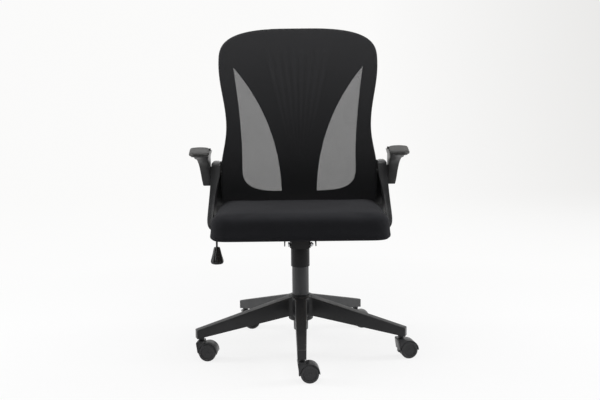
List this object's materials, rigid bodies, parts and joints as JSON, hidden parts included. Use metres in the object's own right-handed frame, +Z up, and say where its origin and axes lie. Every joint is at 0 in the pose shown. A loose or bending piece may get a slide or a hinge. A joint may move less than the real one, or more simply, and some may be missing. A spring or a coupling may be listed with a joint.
{
  "type": "swivel office chair",
  "caption": "Swivel office chair with a mesh back, foam seat, flip-up arms, tilt mechanism, gas lift and a star base on twin-wheel casters.",
  "frame": {"origin": "on the floor, on the swivel axis", "axes": "+Z up, the sitter faces -Y, +X to the left hand of the sitter"},
  "size_m": [0.6795, 0.6613, 0.971],
  "materials": {
    "nylon": "fine-grained black moulded nylon",
    "back_plastic": "black moulded polypropylene",
    "sleeve_plastic": "smooth black plastic",
    "caster_plastic": "satin black plastic",
    "caster_wheel": "satin dark grey plastic",
    "arm_pad": "soft matt polyurethane",
    "black_steel": "black powder coat",
    "steel": "bright zinc plated",
    "white_plastic": "natural acetal",
    "rubber": "black rubber",
    "plywood": "bare birch plywood",
    "seat_fabric": "charcoal knitted mesh over foam",
    "back_mesh": "black open mesh, stretched"
  },
  "bodies": {
    "base": {"star_base": "nylon", "hub_ring": "steel", "column_tube": "black_steel", "guide_bush": "white_plastic", "thrust_bearing": "steel", "caster_stems": "steel"},
    "rod": {"piston_rod": "steel", "rod_clip": "steel", "buffer_ring": "rubber"},
    "lift": {"gas_cylinder": "black_steel", "column_sleeve": "sleeve_plastic", "mechanism_housing": "black_steel", "tilt_pivot_bolt": "steel", "tilt_spring": "steel", "spring_seat": "steel"},
    "valve": {"valve_pin": "steel"},
    "knob": {"tension_knob": "nylon"},
    "rocker": {"release_rocker": "nylon"},
    "lever": {"lever_rod": "steel", "lever_grip": "nylon"},
    "seat": {"seat_plate": "black_steel", "seat_board": "plywood", "seat_cushion": "seat_fabric", "seat_bolts": "steel", "bracket_bolts": "steel", "arm_pivot_bolts": "steel", "back_shell": "back_plastic", "back_mesh": "back_mesh", "mesh_edge_strip": "nylon", "back_screws": "steel", "side_bracket_left": "nylon", "side_bracket_right": "nylon", "bracket_cap_left": "nylon", "bracket_cap_right": "nylon"},
    "arm_left": {"arm_frame_left": "nylon", "arm_pad_left": "arm_pad"},
    "arm_right": {"arm_frame_right": "nylon", "arm_pad_right": "arm_pad"},
    "caster_1": {"caster_hood_1": "caster_plastic", "caster_axle_1": "steel"},
    "wheel_1a": {"caster_wheel_1a": "caster_wheel"},
    "wheel_1b": {"caster_wheel_1b": "caster_wheel"},
    "caster_2": {"caster_hood_2": "caster_plastic", "caster_axle_2": "steel"},
    "wheel_2a": {"caster_wheel_2a": "caster_wheel"},
    "wheel_2b": {"caster_wheel_2b": "caster_wheel"},
    "caster_3": {"caster_hood_3": "caster_plastic", "caster_axle_3": "steel"},
    "wheel_3a": {"caster_wheel_3a": "caster_wheel"},
    "wheel_3b": {"caster_wheel_3b": "caster_wheel"},
    "caster_4": {"caster_hood_4": "caster_plastic", "caster_axle_4": "steel"},
    "wheel_4a": {"caster_wheel_4a": "caster_wheel"},
    "wheel_4b": {"caster_wheel_4b": "caster_wheel"},
    "caster_5": {"caster_hood_5": "caster_plastic", "caster_axle_5": "steel"},
    "wheel_5a": {"caster_wheel_5a": "caster_wheel"},
    "wheel_5b": {"caster_wheel_5b": "caster_wheel"}
  },
  "joints": [
    {"name": "swivel", "type": "hinge", "parent": "base", "child": "rod", "pos_m": [0, 0, 0.2], "axis": [0, 0, 1], "continuous": true},
    {"name": "height", "type": "slide", "parent": "rod", "child": "lift", "axis": [0, 0, 1], "range_m": [0, 0.1]},
    {"name": "tilt", "type": "hinge", "parent": "lift", "child": "seat", "pos_m": [0, -0.05, 0.331], "axis": [-1, 0, 0], "range_deg": [0, 12], "stiffness_Nm_per_rad": 150, "springref_deg": -17.19, "deforming": ["tilt_spring"]},
    {"name": "release_lever", "type": "hinge", "parent": "lift", "child": "rocker", "pos_m": [-0.0255, 0, 0.338], "axis": [0, 1, 0], "range_deg": [0, 4], "stiffness_Nm_per_rad": 3, "springref_deg": -5.73},
    {"name": "lever_pull", "type": "slide", "parent": "rocker", "child": "lever", "axis": [-1, 0, 0], "range_m": [0, 0.012]},
    {"name": "valve", "type": "slide", "parent": "lift", "child": "valve", "axis": [0, 0, 1], "range_m": [-0.002, 0]},
    {"name": "tension", "type": "hinge", "parent": "lift", "child": "knob", "pos_m": [0, 0.056, 0.31], "axis": [0, 0, 1], "range_deg": [-720, 720]},
    {"name": "arm_left_flip", "type": "hinge", "parent": "seat", "child": "arm_left", "pos_m": [-0.283, 0.15, 0.524], "axis": [-1, 0, 0], "range_deg": [0, 90]},
    {"name": "arm_right_flip", "type": "hinge", "parent": "seat", "child": "arm_right", "pos_m": [0.283, 0.15, 0.524], "axis": [-1, 0, 0], "range_deg": [0, 90]},
    {"name": "caster_1_swivel", "type": "hinge", "parent": "base", "child": "caster_1", "pos_m": [0, -0.307, 0.05], "axis": [0, 0, 1], "continuous": true},
    {"name": "wheel_1a_spin", "type": "hinge", "parent": "caster_1", "child": "wheel_1a", "pos_m": [0.01997, -0.30595, 0.025], "axis": [-0.0523, 0.9986, 0], "continuous": true},
    {"name": "wheel_1b_spin", "type": "hinge", "parent": "caster_1", "child": "wheel_1b", "pos_m": [0.01997, -0.30595, 0.025], "axis": [-0.0523, 0.9986, 0], "continuous": true},
    {"name": "caster_2_swivel", "type": "hinge", "parent": "base", "child": "caster_2", "pos_m": [0.29197, -0.09487, 0.05], "axis": [0, 0, 1], "continuous": true},
    {"name": "wheel_2a_spin", "type": "hinge", "parent": "caster_2", "child": "wheel_2a", "pos_m": [0.31167, -0.0914, 0.025], "axis": [-0.1736, 0.9848, 0], "continuous": true},
    {"name": "wheel_2b_spin", "type": "hinge", "parent": "caster_2", "child": "wheel_2b", "pos_m": [0.31167, -0.0914, 0.025], "axis": [-0.1736, 0.9848, 0], "continuous": true},
    {"name": "caster_3_swivel", "type": "hinge", "parent": "base", "child": "caster_3", "pos_m": [0.18045, 0.24837, 0.05], "axis": [0, 0, 1], "continuous": true},
    {"name": "wheel_3a_spin", "type": "hinge", "parent": "caster_3", "child": "wheel_3a", "pos_m": [0.2004, 0.24976, 0.025], "axis": [-0.0698, 0.9976, 0], "continuous": true},
    {"name": "wheel_3b_spin", "type": "hinge", "parent": "caster_3", "child": "wheel_3b", "pos_m": [0.2004, 0.24976, 0.025], "axis": [-0.0698, 0.9976, 0], "continuous": true},
    {"name": "caster_4_swivel", "type": "hinge", "parent": "base", "child": "caster_4", "pos_m": [-0.18045, 0.24837, 0.05], "axis": [0, 0, 1], "continuous": true},
    {"name": "wheel_4a_spin", "type": "hinge", "parent": "caster_4", "child": "wheel_4a", "pos_m": [-0.16065, 0.25115, 0.025], "axis": [-0.1392, 0.9903, 0], "continuous": true},
    {"name": "wheel_4b_spin", "type": "hinge", "parent": "caster_4", "child": "wheel_4b", "pos_m": [-0.16065, 0.25115, 0.025], "axis": [-0.1392, 0.9903, 0], "continuous": true},
    {"name": "caster_5_swivel", "type": "hinge", "parent": "base", "child": "caster_5", "pos_m": [-0.29197, -0.09487, 0.05], "axis": [0, 0, 1], "continuous": true},
    {"name": "wheel_5a_spin", "type": "hinge", "parent": "caster_5", "child": "wheel_5a", "pos_m": [-0.27208, -0.09696, 0.025], "axis": [0.1045, 0.9945, 0], "continuous": true},
    {"name": "wheel_5b_spin", "type": "hinge", "parent": "caster_5", "child": "wheel_5b", "pos_m": [-0.27208, -0.09696, 0.025], "axis": [0.1045, 0.9945, 0], "continuous": true}
  ],
  "couplings": [
    {"joint": "valve", "follows": "release_lever", "m_per_rad": -0.0255}
  ]
}
